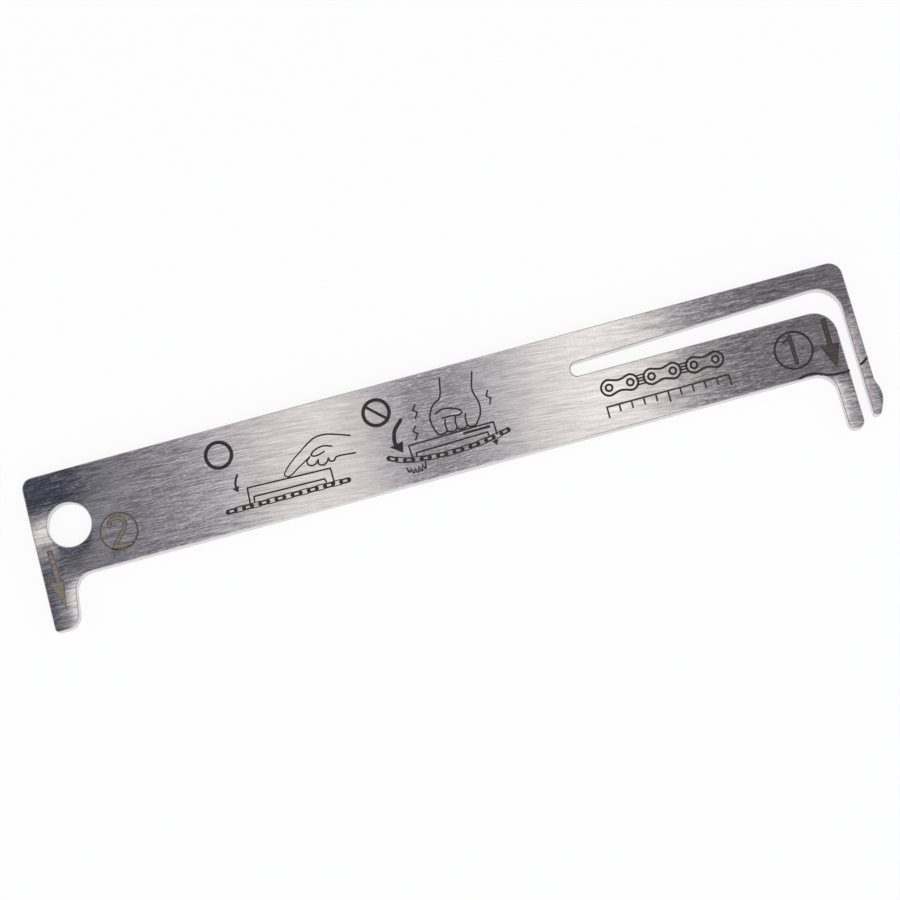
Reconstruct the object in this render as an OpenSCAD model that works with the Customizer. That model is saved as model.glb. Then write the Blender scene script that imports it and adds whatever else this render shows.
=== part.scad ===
// Chain wear gauge: one flat blade, blanked from stainless sheet and tumbled,
// so that every edge is softly rolled. A short tail hook and a fork of two
// prongs hang below the blade, a whole number of chain pitches apart. The outer
// prong is the end of a slender sprung arm, freed by an L-shaped slot, and its
// cam tip presses on a roller.
//
// The blade lies flat: X runs along it, Y across it towards the back edge, and Z
// is its thickness. The outline is drawn from the tail hook's contact face (X)
// and the straight lower edge of the blade (Y), and then centred.

/* [Chain] */
// Pitch of the roller chain that the gauge measures
chain_pitch = 12.7; // [11:0.1:16]
// Number of pitches between the two contact faces
pitch_count = 10; // [9:1:12]
// Lengthening, in percent, at which the fixed prong drops into the chain
wear_limit = 0.75; // [0:0.05:1.5]

/* [Blade] */
// Thickness of the sheet, which passes between the chain's inner plates
blade_t = 2; // [1.2:0.1:3]
// Height of the blade from its lower edge to its back edge
blade_h = 17; // [16:0.5:24]
// Radius of the rolled edge all round the outline
edge_roll = 0.25; // [0.1:0.05:0.4]
// Radius of the back corner over the tail hook
tail_corner_r = 1.8; // [0.6:0.1:5]
// Radius of the back corner over the sprung arm
arm_corner_r = 2.2; // [0.6:0.1:5]

/* [Hanging hole] */
// Diameter of the hole
hole_d = 7; // [4:0.1:8.5]
// Distance of its centre from the tail hook's contact face
hole_x = 6; // [5.5:0.1:12]
// Height of its centre above the lower edge
hole_y = 8.1; // [6:0.1:9.5]

/* [Tail hook] */
// Width of the hook where its side would meet the lower edge
tail_w = 5; // [4:0.1:8]
// Length of the hook below the lower edge
tail_drop = 8; // [6:0.1:12]
// Lean of the hook's inner side, in degrees
tail_lean = 7; // [0:0.5:10]
// Radius of the contact corner at the hook's tip
tail_nose_r = 0.7; // [0.5:0.1:1]
// Radius of the round inner side of the tip
tail_tip_r = 2.3; // [0.6:0.1:2.5]
// Radius of the fillet that joins the hook to the blade
tail_root_r = 3; // [0.5:0.1:5]

/* [Fixed prong] */
// Width of the fixed prong
prong_w = 2.55; // [1.6:0.05:5]
// Length of the prong below the lower edge
prong_drop = 9.8; // [7:0.1:12]
// Radius of the two corners of its tip
prong_tip_r = 1.2; // [0.5:0.05:2]
// Radius of the fillet that joins the prong to the blade
prong_root_r = 3.1; // [0.5:0.1:5]
// Radius of the shoulder where the prong turns into the slot's lower edge
shoulder_r = 3.8; // [0.6:0.1:5]

/* [Slot] */
// Height of the slot's lower edge above the blade's lower edge
slot_y = 9.9; // [8:0.1:11]
// Width of the slot at its closed, round end
slot_end_w = 2.2; // [1:0.1:2.8]
// Length of the slot from the prong's outer side to its closed end
slot_len = 42.1; // [15:0.1:60]
// Rise of the slot's upper edge towards the open end, in degrees
slot_rise = 1.9; // [0:0.1:3]
// Radius of the slot's outer corner
slot_corner_r = 4.1; // [0.5:0.1:6]

/* [Sprung prong] */
// Gap between the two prongs, which closes when the arm is pressed
prong_gap = 1.7; // [0.8:0.05:2.6]
// Width of the sprung prong
spring_w = 1.65; // [1.2:0.05:3]
// Radius of the two corners of its tip
spring_tip_r = 0.55; // [0.5:0.05:0.8]
// How far the cam stands out from the prong's outer side
cam_rise = 0.6; // [0.45:0.05:1]
// Radius of the cam
cam_r = 4; // [2:0.1:5]
// Depth of the cam's crest below the lower edge
cam_drop = 5.3; // [4.5:0.1:8]
// Distance from the cam's crest down to the prong's tip
cam_tip = 3.2; // [2.3:0.1:4]
// Slope of the ramps on both sides of the crest, in degrees
cam_ramp = 25; // [15:1:28]
// Radius of the hollow where the upper ramp leaves the prong's side
cam_hollow_r = 2.2; // [0.5:0.1:5]

/* [Hidden] */

steel = "darkgray";
// Largest step along a round stretch, in degrees, and steps across a rolled edge
arc_step = 6;
roll_steps = 3;
// Least radius, and least straight stretch between two round ones
least_r = 0.05;
// How far the cutters reach past the finished surface
spare = 0.3;

// Places along the blade, each from the one before it
reach = chain_pitch * pitch_count * (1 + wear_limit / 100);
prong_out = reach + prong_w;
slot_end_x = prong_out - slot_len;
spring_in = prong_out + prong_gap;
spring_out = spring_in + spring_w;
blade_len = spring_out + cam_rise;
cam_x = blade_len - cam_r;
spring_drop = cam_drop + cam_tip;
lowest = max(tail_drop, prong_drop, spring_drop);

// Slot: its upper edge starts over the round end and climbs to the outer corner
slot_top = slot_y + slot_end_w;
slot_corner_y = slot_top + tan(slot_rise) * (spring_in - slot_end_x);

// Tail hook: its inner side leans in towards the tip, whose two corners share
// the width that is left
tail_tip_w = tail_w - tan(tail_lean) * tail_drop;
tail_tip_fit = (tail_tip_w - tail_nose_r) / tan(45 + tail_lean / 2) - least_r;
prong_tip_fit = prong_w / 2 - least_r;

// Cam: both ramps touch its circle. They would cross at the crest's corner, and
// they meet the prong's outer side above and its tip below.
cam_corner_x = cam_x + cam_r / cos(cam_ramp);
ramp_h = (cam_r - (spring_out - cam_x) * cos(cam_ramp)) / sin(cam_ramp);
ramp_tip_x = cam_x + (cam_r - cam_tip * sin(cam_ramp)) / cos(cam_ramp);
hollow_fit = (ramp_h / cos(cam_ramp) - cam_r * tan(cam_ramp)) / tan(cam_ramp / 2) - least_r;
spring_tip_fit = (ramp_tip_x - spring_in) / (1 + tan(45 - cam_ramp / 2)) - least_r;

// Corners of the outline, counter-clockwise: X, Y, radius
CORNERS = [
    [0, blade_h, tail_corner_r],
    [0, -tail_drop, tail_nose_r],
    [tail_tip_w, -tail_drop, min(tail_tip_r, tail_tip_fit)],
    [tail_w, 0, tail_root_r],
    [reach, 0, prong_root_r],
    [reach, -prong_drop, min(prong_tip_r, prong_tip_fit)],
    [prong_out, -prong_drop, min(prong_tip_r, prong_tip_fit)],
    [prong_out, slot_y, shoulder_r],
    [slot_end_x, slot_y, slot_end_w / 2 - least_r],
    [slot_end_x, slot_top, slot_end_w / 2 - least_r],
    [spring_in, slot_corner_y, slot_corner_r],
    [spring_in, -spring_drop, min(spring_tip_r, spring_tip_fit)],
    [ramp_tip_x, -spring_drop, min(spring_tip_r, spring_tip_fit)],
    [cam_corner_x, -cam_drop, cam_r],
    [spring_out, ramp_h - cam_drop, min(cam_hollow_r, hollow_fit)],
    [spring_out, blade_h, arm_corner_r],
];

function xy(p) = [p.x, p.y];
function unit(v) = v / norm(v);
function cross_z(a, b) = a.x * b.y - a.y * b.x;
function polar(r, a) = r * [cos(a), sin(a)];

// The arc that rounds a corner: centre, radius, first angle, and turn, which is
// positive where the outline bulges and negative where it is hollow
function corner_arc(before, corner, after) =
    let (
        way_in = unit(xy(corner) - xy(before)),
        way_out = unit(xy(after) - xy(corner)),
        turn = atan2(cross_z(way_in, way_out), way_in * way_out),
        side = sign(turn),
        r = side > 0 ? max(corner.z, edge_roll + least_r) : corner.z,
        first = xy(corner) - way_in * r * tan(abs(turn) / 2),
        centre = first + side * r * [-way_in.y, way_in.x],
        from_centre = first - centre
    )
    [centre, r, atan2(from_centre.y, from_centre.x), turn];

ARCS = let (n = len(CORNERS)) [
    for (i = [0 : n - 1])
        corner_arc(CORNERS[(i + n - 1) % n], CORNERS[i], CORNERS[(i + 1) % n])
];

// The whole outline, drawn in by a distance: every arc keeps its centre
function outline(inset) = [
    for (arc = ARCS)
        let (
            steps = ceil(abs(arc[3]) / arc_step),
            r = arc[1] - sign(arc[3]) * inset
        )
        for (k = [0 : steps])
            arc[0] + polar(r, arc[2] + arc[3] * k / steps)
];

// Section of the finished edge, from the lower face to the upper: inset, height
ROLL = [
    for (k = [0 : roll_steps])
        let (a = 90 * k / roll_steps)
        edge_roll * [1 - sin(a), 1 - cos(a)]
];
EDGE = concat(ROLL, [for (k = [roll_steps : -1 : 0]) [ROLL[k].x, blade_t - ROLL[k].y]]);

// A ring with a closed section, swept once round the outline
module sweep_ring(section) {
    rings = [for (s = section) [for (p = outline(s.x)) [p.x, p.y, s.y]]];
    m = len(rings);
    n = len(rings[0]);
    polyhedron(
        points = [for (ring = rings) each ring],
        faces = [
            for (k = [0 : m - 1], i = [0 : n - 1])
                let (j = (i + 1) % n, up = (k + 1) % m)
                [k * n + j, up * n + j, up * n + i, k * n + i]
        ]
    );
}

// What tumbling takes off the blank: everything outside the rolled edge
module edge_cutter() {
    sweep_ring(concat(
        [[-spare, -spare], [edge_roll, -spare]],
        EDGE,
        [[edge_roll, blade_t + spare], [-spare, blade_t + spare]]
    ));
}

// What the hole takes away: a true bore that opens out over both rolled rims
module hole_cutter() {
    rotate_extrude($fn = 96)
        polygon(concat(
            [[0, -spare], [hole_d / 2 + edge_roll, -spare]],
            [for (e = EDGE) [hole_d / 2 + e.x, e.y]],
            [[hole_d / 2 + edge_roll, blade_t + spare], [0, blade_t + spare]]
        ));
}

module blade() {
    color(steel)
        translate([-blade_len / 2, (lowest - blade_h) / 2, 0])
            difference() {
                linear_extrude(blade_t) polygon(outline(-spare / 2));
                edge_cutter();
                translate([hole_x, hole_y, 0]) hole_cutter();
            }
}

blade();
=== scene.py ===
# %% [markdown]
# # A chain wear gauge, dressed for its picture
#
# The gauge is one flat blade of stainless steel. It was blanked from sheet, tumbled so that every edge is
# softly rolled, brushed along its length, and marked by a laser on its upper face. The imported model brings
# the true outline, so this lesson adds what the eye sees: rolled edges that shade smoothly, brushed steel,
# and the dark markings. All lengths are in metres, and `mm` turns the millimetres of a drawing into them.

# %% The fixed frame and its numbers
import math

import bmesh
import bpy
from mathutils import Matrix, Vector
from mathutils.bvhtree import BVHTree
from mathutils.geometry import delaunay_2d_cdt


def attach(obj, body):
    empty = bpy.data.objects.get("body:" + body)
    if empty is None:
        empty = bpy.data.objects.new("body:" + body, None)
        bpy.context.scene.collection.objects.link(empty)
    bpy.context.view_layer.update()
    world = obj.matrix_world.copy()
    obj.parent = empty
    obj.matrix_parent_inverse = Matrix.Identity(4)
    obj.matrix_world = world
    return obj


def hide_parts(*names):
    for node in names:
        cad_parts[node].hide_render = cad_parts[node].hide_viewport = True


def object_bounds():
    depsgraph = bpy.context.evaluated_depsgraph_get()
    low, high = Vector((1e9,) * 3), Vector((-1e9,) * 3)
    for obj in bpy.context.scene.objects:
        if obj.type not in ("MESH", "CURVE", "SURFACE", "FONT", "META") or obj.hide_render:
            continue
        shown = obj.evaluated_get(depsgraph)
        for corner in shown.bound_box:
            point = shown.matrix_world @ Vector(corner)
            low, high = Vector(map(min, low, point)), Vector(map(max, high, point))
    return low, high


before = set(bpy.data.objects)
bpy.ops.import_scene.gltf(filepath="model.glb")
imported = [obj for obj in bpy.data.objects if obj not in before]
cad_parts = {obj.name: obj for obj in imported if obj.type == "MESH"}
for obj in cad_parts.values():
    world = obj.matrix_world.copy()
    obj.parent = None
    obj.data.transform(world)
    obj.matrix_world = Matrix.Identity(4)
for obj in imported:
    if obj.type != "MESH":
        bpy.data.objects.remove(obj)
cad_low, cad_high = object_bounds()
mm = 0.001
thick = cad_high.z - cad_low.z
print("blade box in mm:", [round(side / mm, 2) for side in cad_high - cad_low])

# %% [markdown]
# ## The camera
#
# The photograph looks almost straight down from about 0.4 m, leaning a little towards the hooks, and turned
# so that the blade climbs to the right. A long lens does that. The camera's axes are worked out as vectors
# and put in a matrix, because a product picture depends on an exact angle that is hard to set by hand.

# %% Camera over the blade
aim = Vector((-0.454, 0.178, 2.0)) * mm
lean, side, roll = math.radians(10.24), math.radians(-92.5), math.radians(-15.17)
back = Vector((math.sin(lean) * math.cos(side), math.sin(lean) * math.sin(side), math.cos(lean)))
level = Vector((0, 1, 0)).cross(back).normalized()
upright = back.cross(level)
right = level * math.cos(roll) + upright * math.sin(roll)
up = upright * math.cos(roll) - level * math.sin(roll)
eye = aim + back * 407.8 * mm

camera_data = bpy.data.cameras.new("camera")
camera_data.sensor_width = 36
camera_data.lens = 104
camera_data.clip_start = 0.02
camera = bpy.data.objects.new("camera", camera_data)
axes = Matrix((right, up, back)).transposed()
camera.matrix_world = Matrix.Translation(eye) @ axes.to_4x4()
bpy.context.scene.collection.objects.link(camera)
bpy.context.scene.camera = camera
print("camera at mm:", [round(v / mm, 1) for v in eye])

# %% [markdown]
# ## Shader maths as Python
#
# A finish is a small network of nodes. One class wraps a node's output, so that sums of values read as
# Python and add their Math nodes. Any other node comes from one method, which sets the node's own choices
# first and then fills its sockets.


# %% A wire between nodes, and a bench to build a finish on
class Wire:
    """The output of a node. Its sums and products add Math nodes."""

    def __init__(self, bench, socket):
        self.bench = bench
        self.socket = socket

    def __add__(self, other):
        return self.bench.maths("ADD", self, other)

    def __sub__(self, other):
        return self.bench.maths("SUBTRACT", self, other)

    def __rsub__(self, other):
        return self.bench.maths("SUBTRACT", other, self)

    def __mul__(self, other):
        return self.bench.maths("MULTIPLY", self, other)

    def __truediv__(self, other):
        return self.bench.maths("DIVIDE", self, other)

    def __abs__(self):
        return self.bench.maths("ABSOLUTE", self)

    __radd__ = __add__
    __rmul__ = __mul__


class Bench:
    """The node tree of one material or world."""

    def __init__(self, owner):
        owner.use_nodes = True
        self.tree = owner.node_tree
        self.tree.nodes.clear()

    def node(self, kind, settings=None, sockets=None, out=0):
        made = self.tree.nodes.new(kind)
        for name, value in (settings or {}).items():
            if name == "stops":
                self.set_stops(made.color_ramp, value)
            else:
                setattr(made, name, value)
        for name, value in (sockets or {}).items():
            if isinstance(value, Wire):
                self.tree.links.new(value.socket, made.inputs[name])
            else:
                made.inputs[name].default_value = value
        return Wire(self, made.outputs[out]) if len(made.outputs) else made

    def maths(self, operation, *values):
        return self.node("ShaderNodeMath", {"operation": operation}, dict(enumerate(values)))

    def set_stops(self, ramp, stops):
        while len(ramp.elements) < len(stops):
            ramp.elements.new(0.5)
        for element, (place, colour) in zip(ramp.elements, stops):
            element.position = place
            element.color = colour

    def step(self, value, low, high):
        """0 below low, 1 above high, and smooth between."""
        choice = {"interpolation_type": "SMOOTHSTEP"}
        return self.node("ShaderNodeMapRange", choice, {0: value, 1: low, 2: high})

    def blend(self, share, first, second):
        """A value between two values."""
        return self.node("ShaderNodeMix", {"data_type": "FLOAT"}, {0: share, 2: first, 3: second})

    def tint(self, share, first, second, how="MIX"):
        """A colour between two colours, or their product."""
        choice = {"data_type": "RGBA", "blend_type": how}
        return self.node("ShaderNodeMix", choice, {0: share, 6: first, 7: second}, out=2)

    def noise(self, place, detail=2.0):
        """Noise whose grains are about one unit of place."""
        return self.node("ShaderNodeTexNoise", None, {"Vector": place, "Scale": 1.0, "Detail": detail})

    def point(self, x, y, z):
        return self.node("ShaderNodeCombineXYZ", None, {0: x, 1: y, 2: z})


print("bench ready")

# %% [markdown]
# ## The white table
#
# The blade lies on a white table. A camera would show even a white table as grey in places, so to the
# camera, and to the steel that mirrors it, the table glows by itself and only a small share of its light
# comes from the lamps. That share keeps the soft shadow of the blade. Light Path tells which ray is asking.

# %% Table and its paint
table_mesh = bpy.data.meshes.new("table")
shape = bmesh.new()
bmesh.ops.create_circle(shape, cap_ends=True, segments=96, radius=4.0)
shape.to_mesh(table_mesh)
shape.free()
table = bpy.data.objects.new("table", table_mesh)
table.location.z = -0.02 * mm
bpy.context.scene.collection.objects.link(table)

paint = bpy.data.materials.new("table_paint")
bench = Bench(paint)
ray = "ShaderNodeLightPath"
asked = bench.node(ray, out="Is Camera Ray") + bench.node(ray, out="Is Glossy Ray")
asked = bench.step(asked + bench.node(ray, out="Is Transmission Ray"), 0.0, 1.0)
plain = bench.node("ShaderNodeBsdfDiffuse", None, {"Color": (0.8, 0.8, 0.8, 1)})
shaded = bench.node("ShaderNodeBsdfDiffuse", None, {"Color": (0.16, 0.16, 0.16, 1)})
glow = bench.node("ShaderNodeEmission", None, {"Color": (1, 1, 1, 1), "Strength": 0.875})
seen = bench.node("ShaderNodeAddShader", None, {0: shaded, 1: glow})
shown = bench.node("ShaderNodeMixShader", None, {0: asked, 1: plain, 2: seen})
bench.node("ShaderNodeOutputMaterial", None, {"Surface": shown})
table_mesh.materials.append(paint)
print("table radius in m: 4.0")

# %% [markdown]
# ## Light for brushed steel
#
# Steel shows its surroundings more than its own colour. In the photograph two soft bright bands cross the
# blade and its ends are dark, so the room has two long bright strips overhead and a dim ceiling round them.
# Each strip is a smooth rise and a smooth fall across the ceiling, so both of its sides can be as sharp or
# as soft as the picture asks. The camera itself sees a white room. A broad lamp in front lights the scene
# to a plain level, gives the blade its soft shadow, and shines on the rolled edges that face the viewer.


# %% World and lamps
def lamp(name, place, turn, size, glow):
    """A flat lamp. Turn is in degrees about X, Y and Z, and glow is how bright it looks, where 1 is white."""
    data = bpy.data.lights.new(name, "AREA")
    data.shape = "RECTANGLE"
    data.size, data.size_y = size
    data.energy = glow * math.pi * size[0] * size[1]
    made = bpy.data.objects.new(name, data)
    made.location = place
    made.rotation_euler = [math.radians(angle) for angle in turn]
    bpy.context.scene.collection.objects.link(made)
    return made


world = bpy.data.worlds.new("room")
bpy.context.scene.world = world
bench = Bench(world)
way = bench.node("ShaderNodeTexCoord", out="Generated")
sideways, forwards, upwards = (bench.node("ShaderNodeSeparateXYZ", None, {0: way}, out=i) for i in range(3))
place = (sideways - 0.06 * forwards) / upwards + 0.011
overhead = bench.step(upwards, 0.45, 0.7)
left_rise = 0.1 * bench.step(place, -0.16, -0.138) + 0.9 * bench.step(place, -0.107, -0.036)
left_strip = (left_rise - bench.step(place, -0.042, 0.004)) * overhead
right_strip = (bench.step(place, -0.002, 0.076) - bench.step(place, 0.08, 0.116)) * overhead
ceiling = bench.tint(bench.step(place, 0.0, 0.08), (0.21, 0.222, 0.262, 1), (0.223, 0.22, 0.243, 1))
far_left = bench.step(place, -0.129, -0.162) * bench.step(place, -0.4, -0.3)
ceiling = bench.tint(far_left, ceiling, (0.084, 0.086, 0.124, 1))
beside = bench.step(abs(sideways) - 0.5 * abs(forwards), 0.2, 0.6)
walls = bench.tint(beside, (0.38, 0.39, 0.42, 1), (0.8, 0.8, 0.82, 1))
seen = bench.tint(bench.step(upwards, 0.84, 0.95), walls, ceiling)
seen = bench.tint(left_strip, seen, (1.36, 1.3, 1.29, 1))
seen = bench.tint(right_strip, seen, (1.52, 1.47, 1.46, 1))
seen = bench.tint(bench.node("ShaderNodeLightPath", out="Is Camera Ray"), seen, (1, 1, 1, 1))
room = bench.node("ShaderNodeBackground", None, {"Color": seen, "Strength": 1.0})
bench.node("ShaderNodeOutputWorld", None, {"Surface": room})

lamp("front_lamp", (0.0, -1.15, 1.0), (49, 0, 0), (3.6, 2.0), 0.55)
bpy.context.scene.view_settings.view_transform = "Standard"
print("lamps:", len(bpy.data.lights))

# %% [markdown]
# ## Brushed steel
#
# A brushed face is covered in fine scratches a tenth of a millimetre wide and a few millimetres long. They
# lean a few degrees across the blade, as a hand or a belt leaves them. Noise that is stretched along the
# scratches gives their heights, and a bump tilts the surface across them, so that reflections smear the
# way that they do on real brushed metal. The walls were sheared and then tumbled, so they get short
# upright marks and a soft pebbling, and the surface's own direction tells face from wall.


# %% Places on the steel, and its scratches
class Steel(Bench):
    """A bench with the blade's own places: millimetres along, across and up."""

    def __init__(self, name):
        self.material = bpy.data.materials.new(name)
        super().__init__(self.material)
        spot = self.node("ShaderNodeTexCoord", out="Object")
        facing = self.node("ShaderNodeTexCoord", out="Normal")
        split = "ShaderNodeSeparateXYZ"
        self.along = (self.node(split, None, {0: spot}, out=0) - cad_low.x) / mm
        self.across = self.node(split, None, {0: spot}, out=1) / mm
        self.height = self.node(split, None, {0: spot}, out=2) / mm
        self.level = abs(self.node(split, None, {0: facing}, out=2))
        self.is_face = self.step(self.level, 0.9, 0.985)
        wander = self.noise(self.point(self.along / 34, self.across / 9, self.height))
        swing = self.maths("EXPONENT", self.along / -22)
        self.row = self.across + 0.115 * self.along + 2.2 * swing + wander * 0.4

    def scratches(self, length, width, lean=0.0, detail=2.0):
        """Stretched noise: grains of that length and width, in millimetres, turned by a slope."""
        return self.noise(self.point(self.along / length, (self.row + lean * self.along) / width, self.height), detail)

    def finish(self, colour, metallic, rough, relief, depth):
        """The last node: all that varies goes into colour, roughness and the bump's height."""
        bumped = self.node("ShaderNodeBump", None, {"Strength": 1.0, "Distance": depth * mm, "Height": relief})
        look = {"Base Color": colour, "Metallic": metallic, "Roughness": rough, "Normal": bumped}
        surface = self.node("ShaderNodeBsdfPrincipled", None, look)
        self.node("ShaderNodeOutputMaterial", None, {"Surface": surface})
        return self.material


# %% Steel of the blade
bench = Steel("brushed_steel")
streaks = bench.scratches(12.0, 0.7, detail=1.0)
strokes = bench.scratches(4.6, 0.27, detail=1.0)
crossing = bench.scratches(2.2, 0.24, lean=-0.12, detail=1.0)
hairs = bench.scratches(0.6, 0.13, lean=0.05, detail=1.0)
worn = 0.2 * streaks + 0.3 * strokes + 0.25 * crossing + 0.25 * hairs
grain = 0.25 * streaks + 0.5 * strokes + 0.25 * crossing
upright_marks = bench.noise(bench.point(bench.along * 6, bench.across * 6, bench.height * 0.7), 3.0)
pebbles = bench.noise(bench.point(bench.along * 2.2, bench.across * 2.2, bench.height * 2.2), 2.0)
wall_relief = 0.5 * upright_marks + 0.5 * pebbles
# The grain is the steel's own. Towards both ends of the blade its colour contrast more than doubles, and that extra
# contrast is painted glint and shade. It stands in for scratches that catch the bright strips where the steel mirrors
# the dim ceiling.
painted_glint_at_ends = bench.step(abs(bench.along - 67), 20, 42)
grain_and_painted_glint = 0.5 + (worn - 0.5) * bench.blend(painted_glint_at_ends, 2.0, 4.4)
brushed = bench.tint(grain_and_painted_glint, (0.33, 0.315, 0.32, 1), (0.9, 0.87, 0.875, 1))
dull = bench.step(0.5 * crossing + 0.5 * hairs, 0.45, 0.7)
torn = bench.step(bench.height + 0.5 * pebbles, 1.25, 0.85)
wall = bench.tint(pebbles, (0.62, 0.6, 0.605, 1), (0.76, 0.74, 0.745, 1))
wall = bench.tint(torn, wall, bench.tint(upright_marks, (0.42, 0.41, 0.415, 1), (0.66, 0.64, 0.645, 1)))
tumbled = bench.tint(bench.step(bench.level, 0.05, 0.5), wall, (0.6, 0.58, 0.585, 1))
calm = bench.step(bench.level, 0.9965, 0.9998)
steel = bench.finish(
    colour=bench.tint(bench.is_face, tumbled, brushed),
    metallic=1.0,
    rough=bench.blend(bench.is_face, 0.25, 0.07 + 0.1 * dull),
    relief=bench.blend(bench.is_face, wall_relief * 0.15, grain * (0.35 + 0.65 * calm)),
    depth=0.016,
)
print("steel nodes:", len(bench.tree.nodes))

# %% [markdown]
# ## Laser markings
#
# A marking laser doesn't cut. It heats the steel until a thin dark oxide grows, black where the beam went
# slowly and a thin brown or olive film where it filled an area. The brushing still shows through it. So the
# marks keep the scratches of the steel, with a darker colour that drifts a little between olive and plum.
# Towards the tail hook the film is thinner and paler, as where a beam comes out of focus.


# %% Two depths of oxide
def oxide(name, first, second, paler, rough):
    bench = Steel(name)
    strokes = bench.scratches(3.4, 0.2)
    drift = bench.noise(bench.point(bench.along * 0.7, bench.across * 0.7, 0.0))
    colour = bench.tint(bench.step(drift, 0.35, 0.65), (*first, 1), (*second, 1))
    thin = bench.step(bench.along, 32.0, 8.0)
    lift = bench.tint(thin, (1, 1, 1, 1), (paler, paler, paler, 1))
    worn = bench.tint(bench.step(strokes, 0.35, 0.75), (0.8, 0.8, 0.8, 1), (1.4, 1.4, 1.4, 1))
    return bench.finish(
        colour=bench.tint(1.0, bench.tint(1.0, colour, lift, "MULTIPLY"), worn, "MULTIPLY"),
        metallic=0.6,
        rough=rough + 0.1 * strokes,
        relief=strokes,
        depth=0.012,
    )


line_oxide = oxide("dark_oxide", (0.062, 0.05, 0.04), (0.055, 0.043, 0.045), 2.2, 0.42)
thin_oxide = oxide("olive_oxide", (0.1, 0.085, 0.055), (0.085, 0.07, 0.06), 2.0, 0.4)
fill_oxide = oxide("brown_oxide", (0.115, 0.11, 0.075), (0.12, 0.085, 0.09), 2.9, 0.38)
print("marking finishes: 3")

# %% [markdown]
# ## The blade
#
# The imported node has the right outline, with its rolled edge in three flat facets. For a close view the
# blade is drawn again over the same outline: the node is cut at mid-height, the cut gives the outline's
# points, and rings of those points, drawn in step by step, make a round edge. A thin extra ring beside each
# roll keeps the flat faces flat when the mesh is shaded smoothly.


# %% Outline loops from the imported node
def cut_loops(node, height):
    """The closed loops of points in which a level plane cuts a node."""
    shape = bmesh.new()
    shape.from_mesh(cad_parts[node].data)
    bmesh.ops.remove_doubles(shape, verts=shape.verts, dist=1e-6)
    everything = shape.verts[:] + shape.edges[:] + shape.faces[:]
    cut = bmesh.ops.bisect_plane(
        shape, geom=everything, dist=1e-8, plane_co=(0, 0, height), plane_no=(0, 0, 1)
    )
    beside = {}
    for edge in cut["geom_cut"]:
        if isinstance(edge, bmesh.types.BMEdge):
            for a, b in (edge.verts, reversed(edge.verts)):
                beside.setdefault(a, []).append(b)
    loops = []
    while beside:
        start = next(iter(beside))
        loop, last, here = [start], None, start
        while True:
            ways = [v for v in beside.pop(here) if v is not last]
            last, here = here, ways[0]
            if here is start:
                break
            loop.append(here)
        loops.append([v.co.xy.copy() for v in loop])
    shape.free()
    return loops


def area(points):
    pairs = zip(points, points[1:] + points[:1])
    return sum(a.x * b.y - a.y * b.x for a, b in pairs) / 2


def without_flat_points(points):
    """The loop without the points that lie on a straight stretch."""
    kept = []
    for i, here in enumerate(points):
        way_in = here - points[i - 1]
        way_out = points[(i + 1) % len(points)] - here
        if abs(way_in.angle_signed(way_out, 0)) > math.radians(0.4):
            kept.append(here)
    return kept


def with_short_steps(points, longest):
    """The loop with extra points on its long straight stretches."""
    made = []
    for here, after in zip(points, points[1:] + points[:1]):
        steps = max(1, math.ceil((after - here).length / longest))
        made += [here.lerp(after, k / steps) for k in range(steps)]
    return made


loops = sorted(cut_loops("blade", cad_low.z + thick / 2), key=lambda loop: abs(area(loop)))
hole, outline = [with_short_steps(without_flat_points(loop), 2 * mm) for loop in loops]
if area(outline) < 0:
    outline.reverse()
if area(hole) > 0:
    hole.reverse()
print("outline points:", len(outline), "hole points:", len(hole))


# %% [markdown]
# ## How the upper face bends at its thin parts
#
# Blanking drags thin parts of a sheet down before it shears through, so they come out slightly bent: the
# tail hook sinks towards its inner side, the narrow bridge sinks towards the hole, and the prong and the arm
# lean towards the tail. The slopes are only two or three degrees, but steel doubles them in what it mirrors,
# so they decide which parts catch the bright strips. Tumbling then rounds every corner. One function gives
# the drop of any place. A search tree of upright walls along the outline finds the distance to its edge.

# %% Distance to the outline, and the drop at any place
posts, strips = [], []
for a, b in zip(outline, outline[1:] + outline[:1]):
    strips.append(tuple(range(len(posts), len(posts) + 4)))
    posts += [(a.x, a.y, -1), (b.x, b.y, -1), (b.x, b.y, 1), (a.x, a.y, 1)]
outline_walls = BVHTree.FromPolygons(posts, strips)
edge_roll = 0.15 * mm
hole_middle = sum(hole, Vector((0, 0))) / len(hole)
hole_radius = (hole[0] - hole_middle).length
lower_edge = cad_high.y - 17 * mm


def ease(value, low, high):
    """0 at low, 1 at high, and smooth between. Low may be the larger one."""
    share = min(1.0, max(0.0, (value - low) / (high - low)))
    return share * share * (3 - 2 * share)


def bend(x, y):
    """Drop in millimetres, for a place in millimetres from the tail's end and from the lower edge."""
    inner = min(3.5, max(0.0, x - 1))
    hook = (0.0079 * inner**2 + 0.055 * max(0.0, x - 4.5)) * ease(y, 1, -3) * ease(x, 9, 6)
    out = min(x, 3.2)
    bridge = 0.053 * out * math.exp(-(((y - 7.5) / 3.1) ** 2)) * ease(x, 9.5, 3.5)
    corner = (0.0003 * max(0.0, 22 - x) ** 2 + 0.0006 * max(0.0, 10 - x) ** 2) * ease(y, 10.5, 14)
    if x > 131:
        side = max(0.0, 134 - x)
        arm = 0.03 * side + 0.001 * side**2 + 0.02 * max(0.0, side - 1.5) ** 2
        return arm * ease(y, 11, 7)
    side = max(0.0, 130.6 - x)
    prong = 0.024 * side + 0.002 * side**2 + 0.01 * max(0.0, side - 2.2) ** 2
    return hook + bridge + corner + prong * ease(y, 2, -3) * ease(x, 124.5, 128)


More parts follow.
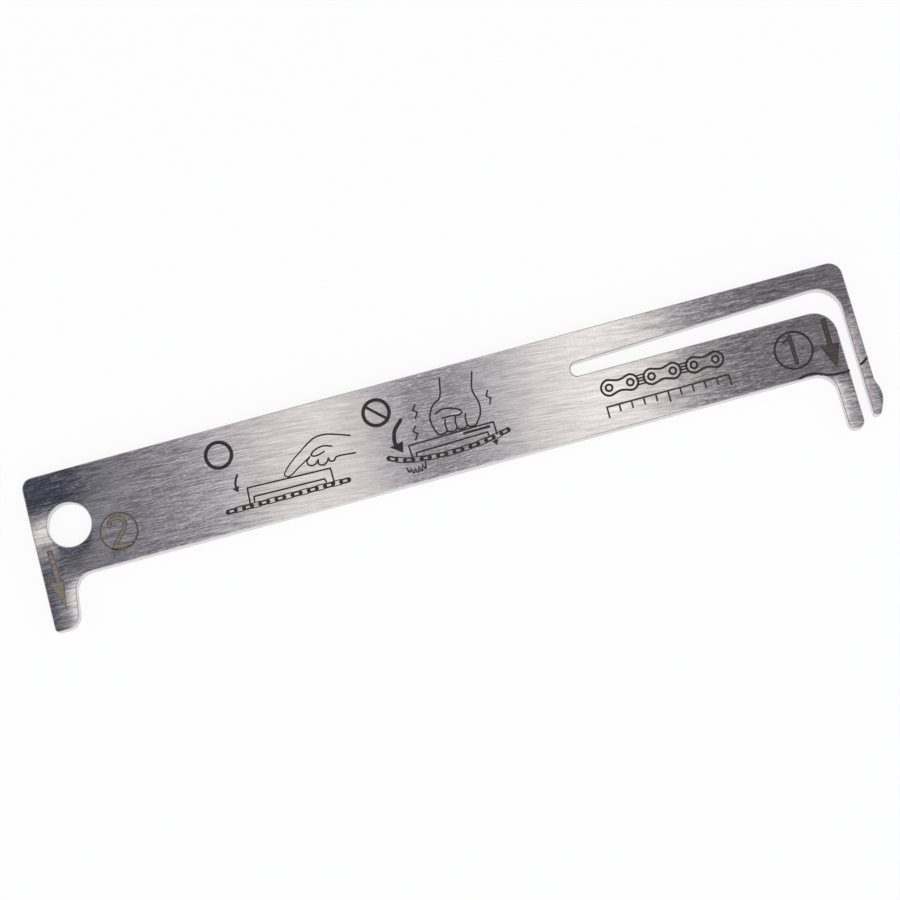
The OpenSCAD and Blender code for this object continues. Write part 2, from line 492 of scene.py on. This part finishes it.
def drop(point):
    """How far the finished face lies below the sheet's at a place."""
    to_outline = outline_walls.find_nearest((point.x, point.y, 0.0))[3]
    to_hole = max(0.0, (point - hole_middle).length - hole_radius)
    short = max(0.0, edge_roll - min(to_outline, to_hole))
    rolled = edge_roll - math.sqrt(max(0.0, edge_roll**2 - short**2))
    return rolled + bend((point.x - cad_low.x) / mm, (point.y - lower_edge) / mm) * mm


print("drop of the tail hook's inner side in mm:", round(bend(5.0, -4.0), 3))


# %% Rings that make the rolled edge
def drawn_in(points, inset):
    """The loop moved into the steel, which lies to its left."""
    moved = []
    for i, here in enumerate(points):
        way_in = (here - points[i - 1]).normalized()
        way_out = (points[(i + 1) % len(points)] - here).normalized()
        left = Vector((-way_in.y - way_out.y, way_in.x + way_out.x))
        moved.append(here + left * inset / (1 + way_in.dot(way_out)))
    return moved


hold, roll_steps = 0.06 * mm, 6
quarter = [math.pi / 2 * k / roll_steps for k in range(roll_steps + 1)]
insets = [edge_roll * (1 - math.sin(a)) for a in quarter]
lower_half = [(edge_roll + hold, 0.0)] + [(d, edge_roll * (1 - math.cos(a))) for d, a in zip(insets, quarter)]
lower_half.append((0.0, edge_roll + hold))
upper_half = [(0.0, -hold)] + [(d, 0.0) for d in reversed(insets)] + [(edge_roll + hold, 0.0)]


def on_face(point, lift=0.0):
    """A corner on the finished upper face."""
    return shape.verts.new((point.x, point.y, thick - drop(point) + lift))



shape = bmesh.new()
lower_caps, upper_caps = [], []
for loop in (outline, hole):
    rings = []
    for inset, rise in lower_half:
        rings.append([shape.verts.new((p.x, p.y, rise)) for p in drawn_in(loop, inset)])
    for inset, lift in upper_half:
        rings.append([on_face(p, lift) for p in drawn_in(loop, inset)])
    for below, above in zip(rings, rings[1:]):
        for i in range(len(loop)):
            shape.faces.new((below[i - 1], below[i], above[i], above[i - 1]))
    lower_caps.append(rings[0])
    upper_caps.append(rings[-1])
print("rings a loop:", len(rings))


# %% The two broad faces
def fill_face(rings, free, upper):
    """Triangles between the outer ring, the hole's ring and the free points."""
    corners = [v for ring in rings for v in ring] + free
    edges, start = [], 0
    for ring in rings:
        edges += [(start + (i - 1) % len(ring), start + i) for i in range(len(ring))]
        start += len(ring)
    flat = delaunay_2d_cdt([v.co.xy for v in corners], edges, [], 1, 0.001 * mm)
    hole_ring = set(rings[1])
    for trio in flat[2]:
        found = [corners[flat[3][i][0]] for i in trio]
        if not hole_ring.issuperset(found):
            shape.faces.new(found if upper else found[::-1])


free, taken = [], set()
for inset in (0.45, 0.7, 1.0, 1.4, 1.9, 2.5, 3.2, 4.0, 5.5):
    for p in drawn_in(outline, inset * mm) + drawn_in(hole, inset * mm):
        to_outline = outline_walls.find_nearest((p.x, p.y, 0.0))[3]
        to_hole = (p - hole_middle).length - hole_radius
        cell = (round(p.x / mm / 0.05), round(p.y / mm / 0.05))
        if min(to_outline, to_hole) > (inset - 0.02) * mm and cell not in taken:
            taken.add(cell)
            free.append(on_face(p))
fill_face(lower_caps, [], upper=False)
fill_face(upper_caps, free, upper=True)
loose = [v for v in shape.verts if not v.link_faces]
bmesh.ops.delete(shape, geom=loose, context="VERTS")
for face in shape.faces:
    face.smooth = True

blade_mesh = bpy.data.meshes.new("gauge_blade")
shape.to_mesh(blade_mesh)
shape.free()
blade_mesh.materials.append(steel)
blade = bpy.data.objects.new("gauge_blade", blade_mesh)
bpy.context.scene.collection.objects.link(blade)
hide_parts("blade")
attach(blade, "root")
print("blade faces:", len(blade_mesh.polygons))

# %% [markdown]
# ## Drawing with strokes
#
# Every mark is drawn as strokes, the way that a laser or a pen draws it. A stroke is a ribbon round a line
# of points, and a smooth stroke first puts a curve through them. All ribbons of one mark are merged by a
# triangulation that keeps whatever lies inside any of them, and the result becomes a very thin inlay. It
# stays sharp at any distance, which a painted mask wouldn't. Places are in millimetres from the tail
# hook's contact face and from the blade's lower edge.


# %% Lines, curves and ribbons
def curve(points, closed=False, steps=6):
    """A smooth line through the points."""
    spots = [Vector(p) for p in points]
    if closed:
        spots = [spots[-1], *spots, spots[0], spots[1]]
    else:
        spots = [2 * spots[0] - spots[1], *spots, 2 * spots[-1] - spots[-2]]
    made = []
    for a, b, c, d in zip(spots, spots[1:], spots[2:], spots[3:]):
        for k in range(steps):
            t = k / steps
            made.append(
                (2 * b + (c - a) * t + (2 * a - 5 * b + 4 * c - d) * t**2 + (3 * b - a - 3 * c + d) * t**3) / 2
            )
    if not closed:
        made.append(spots[-2])
    return made


def ring_line(x, y, diameter, steps=56):
    """Points round a circle."""
    turns = [2 * math.pi * k / steps for k in range(steps)]
    return [Vector((x + math.cos(a) * diameter / 2, y + math.sin(a) * diameter / 2)) for a in turns]


def ribbon(points, width, closed=False):
    """The stroke along a line, as four-cornered patches with round ends."""
    spots = [Vector(p) for p in points]
    count = len(spots)
    sides = []
    for i, here in enumerate(spots):
        before = spots[i - 1] if closed or i > 0 else 2 * here - spots[i + 1]
        after = spots[(i + 1) % count] if closed or i < count - 1 else 2 * here - spots[i - 1]
        way_in, way_out = (here - before).normalized(), (after - here).normalized()
        left = Vector((-way_in.y - way_out.y, way_in.x + way_out.x))
        reach = left * (width / 2 / max(0.35, 1 + way_in.dot(way_out)))
        sides.append((here + reach, here - reach))
    last = count if closed else count - 1
    patches = []
    for i in range(last):
        j = (i + 1) % count
        patches.append([sides[i][1], sides[j][1], sides[j][0], sides[i][0]])
    if not closed:
        patches += [ring_line(*spots[0], width, 12), ring_line(*spots[-1], width, 12)]
    return patches


def flat_shape(points):
    """A filled shape."""
    return [[Vector(p) for p in points]]


# %% Inlays from merged strokes
def inlay(name, patches, finish, lift=0.012):
    """One very thin piece that holds all the patches, a hair above the upper face."""
    spots, faces = [], []
    for patch in patches:
        faces.append(list(range(len(spots), len(spots) + len(patch))))
        spots += patch if area(patch) > 0 else patch[::-1]
    low, high = (Vector(map(side, zip(*spots))) for side in (min, max))
    for i in range(math.ceil((high.x - low.x) / 0.5)):
        for j in range(math.ceil((high.y - low.y) / 0.5)):
            spot = low + Vector((i + 0.4, j + 0.4)) * 0.5
            if bend(*spot) > 0.004:
                spots.append(spot)
    merged = delaunay_2d_cdt(spots, [], faces, 0, 0.0002)
    shape = bmesh.new()
    corners = []
    for spot in merged[0]:
        p = Vector((cad_low.x + spot.x * mm, lower_edge + spot.y * mm))
        corners.append(shape.verts.new((p.x, p.y, thick - drop(p) + lift * mm)))
    for trio, inside in zip(merged[2], merged[5]):
        if inside:
            shape.faces.new([corners[i] for i in trio])
    loose = [v for v in shape.verts if not v.link_faces]
    bmesh.ops.delete(shape, geom=loose, context="VERTS")
    lower = bmesh.ops.extrude_face_region(shape, geom=shape.faces[:], use_keep_orig=True)["geom"]
    for v in lower:
        if isinstance(v, bmesh.types.BMVert):
            v.co.z -= 0.03 * mm
    bmesh.ops.recalc_face_normals(shape, faces=shape.faces[:])
    mesh = bpy.data.meshes.new(name)
    shape.to_mesh(mesh)
    shape.free()
    mesh.materials.append(finish)
    made = bpy.data.objects.new(name, mesh)
    bpy.context.scene.collection.objects.link(made)
    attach(made, "root")
    print(name, "faces:", len(mesh.polygons))
    return made


# %% [markdown]
# ## The two places to read
#
# Circled numbers tell the order of use, and an arrow beside each points to the hook or prong that goes into
# the chain. A dark line crosses the prong and the sprung arm: the two halves meet when the arm is pressed.

# %% Numbers, arrows and the index line
inlay("circle_one", ribbon(ring_line(122.97, 4.86, 5.95), 0.34, closed=True), line_oxide)
for name, width, finish, lift in (("figure_one_edge", 0.66, line_oxide, 0.012), ("figure_one", 0.38, fill_oxide, 0.02)):
    one = ribbon([(122.92, 7.25), (122.92, 2.8)], width)
    one += ribbon([(121.75, 6.5), (122.4, 6.75), (122.88, 7.2)], width * 0.7)
    inlay(name, one, finish, lift)

inlay("circle_two", ribbon(ring_line(13.36, 5.02, 5.9), 0.3, closed=True), thin_oxide)
for name, width, finish, lift in (("figure_two_edge", 0.76, thin_oxide, 0.012), ("figure_two", 0.46, fill_oxide, 0.02)):
    two = curve([(12.05, 6.15), (12.35, 6.95), (13.2, 7.25), (14.15, 6.95), (14.55, 6.05), (14.15, 5.1)])
    two += curve([(14.15, 5.1), (13.2, 4.05), (12.35, 3.05), (12.1, 2.65)])[1:]
    inlay(name, ribbon(two, width) + ribbon([(12.15, 2.62), (14.85, 2.62)], width), finish, lift)


def arrow(name, shaft, head, finish):
    """A filled arrow with a darker line round it. Shaft has four corners, head three."""
    around = [shaft[0], shaft[1], head[0], head[1], head[2], shaft[2], shaft[3]]
    inlay(name, flat_shape(shaft) + flat_shape(head), fill_oxide)
    inlay(name + "_edge", ribbon(around, 0.15, closed=True), finish, 0.02)


arrow(
    "arrow_one",
    [(129.1, 8.4), (129.05, 4.15), (128.4, 4.15), (128.45, 8.4)],
    [(130.1, 4.15), (128.75, 0.5), (127.3, 4.15)],
    line_oxide,
)
arrow(
    "arrow_two",
    [(2.42, 4.85), (2.68, -0.2), (1.88, -0.15), (1.66, 4.8)],
    [(3.1, -0.3), (2.5, -4.5), (0.86, -0.1)],
    thin_oxide,
)

index = curve(
    [(122.6, 0.25), (123.5, 0.45), (124.5, 0.5), (125.5, 0.3), (126.5, -0.15), (127.6, -0.45), (128.9, -0.58)]
)
index += curve([(128.9, -0.58), (129.7, -0.6), (130.38, -0.52)])[1:]
inlay("index_line_prong", ribbon(index, 0.4), line_oxide)
inlay("index_line_arm", ribbon(curve([(132.45, -0.05), (133.1, 0.25), (133.7, 0.75)]), 0.4), line_oxide)

# %% [markdown]
# ## Signs for right and wrong
#
# A plain ring marks the right way to lay the gauge on a chain and a barred ring the wrong way. Both are old
# signs that belong to nobody, and a small bent arrow beside each shows which way the gauge swings down.

# %% Ring, barred ring and bent arrows
inlay("ring_right", ribbon(ring_line(31.4, 12.61, 4.11), 0.58, closed=True), line_oxide)
barred = ribbon(ring_line(57.07, 12.61, 4.12), 0.58, closed=True)
barred += ribbon([(55.6, 14.0), (58.55, 11.2)], 0.45)
inlay("ring_wrong", barred, line_oxide)

light_swing = ribbon(curve([(33.45, 8.75), (32.9, 7.7), (32.85, 6.7)]), 0.36)
light_swing += flat_shape([(32.2, 6.75), (33.35, 7.0), (33.0, 6.0)])
inlay("swing_light", light_swing, line_oxide)
hard_swing = ribbon(curve([(60.5, 10.45), (59.2, 9.1), (58.75, 7.7), (58.75, 6.6)]), 0.62)
hard_swing += flat_shape([(57.75, 6.65), (60.0, 7.1), (59.6, 5.3)])
inlay("swing_hard", hard_swing, line_oxide)

# %% [markdown]
# ## Two small pictures of the gauge in use
#
# The first picture shows a finger that rests lightly on the gauge while both hooks sit in the chain. The
# second shows a fist that presses hard, with shake marks round it, and a chain that sags on its sprocket.
# Both are line drawings with a pen a quarter of a millimetre wide.


# %% A chain seen from the side
def chain_row(points, links):
    """Rollers along a line, joined in turn by bold inner plates and thin outer ones."""
    line = curve(points, steps=20)
    lengths = [(b - a).length for a, b in zip(line, line[1:])]
    pitch = sum(lengths) / links
    rivets, walked = [line[0]], 0.0
    for a, b, length in zip(line, line[1:], lengths):
        while walked + length > len(rivets) * pitch - 1e-9:
            rivets.append(a.lerp(b, (len(rivets) * pitch - walked) / length))
        walked += length
    drawn = [ring_line(*spot, 0.68, 14) for spot in rivets]
    for k, (a, b) in enumerate(zip(rivets, rivets[1:])):
        way = (b - a).normalized()
        far, pen = (0.4, 0.17) if k % 2 else (0.3, 0.27)
        for off in (far, -far):
            beside = Vector((-way.y, way.x)) * off
            drawn += ribbon([a + beside, b + beside], pen)
    return drawn


# %% Right use
pen = 0.27
right_use = chain_row([(30.6, 3.4), (50.3, 3.4)], 15)
gauge_side = [(34.35, 3.5), (34.5, 6.35), (47.9, 5.95), (47.95, 3.4)]
right_use += ribbon(gauge_side, pen)
right_use += ribbon([(35.1, 4.0), (35.2, 4.75), (46.6, 4.55), (46.75, 4.0)], pen)
right_use += ribbon(
    curve([(45.2, 8.55), (43.1, 7.35), (41.7, 6.5), (41.0, 6.45), (40.75, 7.0), (42.2, 8.5), (44.9, 10.4)]), 0.22
)
right_use += ribbon(curve([(44.9, 10.4), (46.6, 11.3), (48.4, 11.4), (50.2, 10.9), (52.2, 10.2)]), pen)
right_use += ribbon(curve([(45.2, 8.55), (44.6, 7.9), (44.9, 7.2), (45.7, 7.15), (46.4, 7.75)]), pen)
right_use += ribbon(curve([(46.4, 7.75), (46.3, 7.1), (46.9, 6.75), (47.6, 7.0), (48.0, 7.6)]), pen)
right_use += ribbon(curve([(48.0, 7.6), (48.2, 7.05), (48.8, 7.0), (49.5, 7.5), (52.3, 7.3)]), pen)
right_use += ribbon(curve([(49.0, 9.3), (47.6, 9.7), (46.2, 9.4), (45.5, 8.75), (46.2, 8.45), (47.6, 8.75)]), pen)
inlay("picture_right_use", right_use, line_oxide)

# %% Wrong use
wrong_use = chain_row([(57.1, 5.05), (60.2, 3.9), (66.5, 3.35), (72.5, 3.75), (76.5, 4.5)], 15)
wrong_use += ribbon([(60.8, 4.1), (60.7, 6.15), (74.5, 6.35), (74.55, 4.3)], pen)
wrong_use += ribbon([(61.5, 4.3), (61.6, 4.75), (73.2, 5.0), (73.3, 4.4)], pen)
wrong_use += ribbon([(69.6, 5.75), (73.7, 5.8)], 0.4)
fist = [(68.1, 15.3), (67.4, 12.4), (66.0, 11.4), (65.1, 9.8), (65.1, 8.2), (65.5, 7.0)]
wrong_use += ribbon(curve(fist), pen)
for k in range(4):
    x = 65.5 + 1.65 * k
    wrong_use += ribbon(curve([(x, 7.0), (x + 0.25, 6.6), (x + 1.3, 6.6), (x + 1.65, 7.0)]), pen)
    if k:
        wrong_use += ribbon(curve([(x, 7.0), (x - 0.05, 7.9), (x + 0.15, 8.7)]), pen)
wrong_use += ribbon(curve([(72.1, 7.0), (72.9, 8.2), (73.1, 10.0), (72.6, 12.2), (73.3, 15.0)]), pen)
thumb = [(66.0, 10.0), (67.4, 10.4), (69.2, 10.0), (70.1, 9.3), (69.6, 8.8), (68.2, 9.0), (66.9, 9.0)]
wrong_use += ribbon(curve(thumb), pen)
for x, y in ((63.3, 12.2), (62.5, 8.9)):
    shake = [(x, y), (x - 0.55, y - 0.75), (x + 0.05, y - 1.25), (x - 0.5, y - 2.1)]
    wrong_use += ribbon(shake, 0.26)
wrong_use += ribbon([(74.9, 11.4), (74.5, 10.6), (75.1, 10.1), (74.7, 9.2)], 0.26)
teeth = []
for k in range(5):
    x = 59.5 + 0.62 * k
    y = 2.55 - 0.55 * math.sin(math.pi * (k + 0.5) / 5)
    teeth += [(x, y + 0.45), (x + 0.18, y - 0.3), (x + 0.44, y - 0.3)]
teeth.append((62.6, 2.95))
wrong_use += ribbon(teeth, 0.26)
wrong_use += flat_shape([(73.5, 3.4), (74.6, 3.5), (74.1, 2.6)])
inlay("picture_wrong_use", wrong_use, line_oxide)

# %% [markdown]
# ## A length of chain and a scale of pitches
#
# Under the slot lies a bold outlined length of roller chain, and under that a fine scale with ten steps,
# one for each pitch that the gauge spans. The plates are drawn as two round ends with a narrow waist.


# %% Outlined links and a ten-step scale
def link_plate(a, b, y, radius, waist):
    """The closed outline of a plate between two rivets."""
    span = b - a
    made = []
    for k in range(-4, 5):
        turn = math.radians(180 + 24 * k)
        made.append((a + radius * math.cos(turn), y + radius * math.sin(-turn)))
    made.append((a + span / 2, y + waist))
    for k in range(-4, 5):
        turn = math.radians(24 * k)
        made.append((b + radius * math.cos(turn), y - radius * math.sin(turn)))
    made.append((a + span / 2, y - waist))
    return made


big_chain, middle_y, pitch = [], 6.75, 3.46
rivets = [93.45 + pitch * k for k in range(6)]
for k, (a, b) in enumerate(zip(rivets, rivets[1:])):
    if k % 2 == 0:
        big_chain += ribbon(curve(link_plate(a, b, middle_y, 1.25, 0.85), closed=True), 0.36, closed=True)
        big_chain += ribbon(ring_line(a, middle_y, 1.05, 28), 0.36, closed=True)
        big_chain += ribbon(ring_line(b, middle_y, 1.05, 28), 0.36, closed=True)
    else:
        for off in (0.72, 0.24, -0.24, -0.72):
            big_chain += ribbon([(a + 1.1, middle_y + off), (b - 1.1, middle_y + off)], 0.26)
inlay("chain_links", big_chain, line_oxide)

scale = ribbon([(92.3, 3.85), (112.1, 3.85)], 0.3)
for k in range(11):
    x = 92.3 + 1.98 * k
    scale += ribbon([(x, 3.85), (x, 2.15 if k % 5 == 0 else 2.75)], 0.3)
inlay("pitch_scale", scale, thin_oxide)
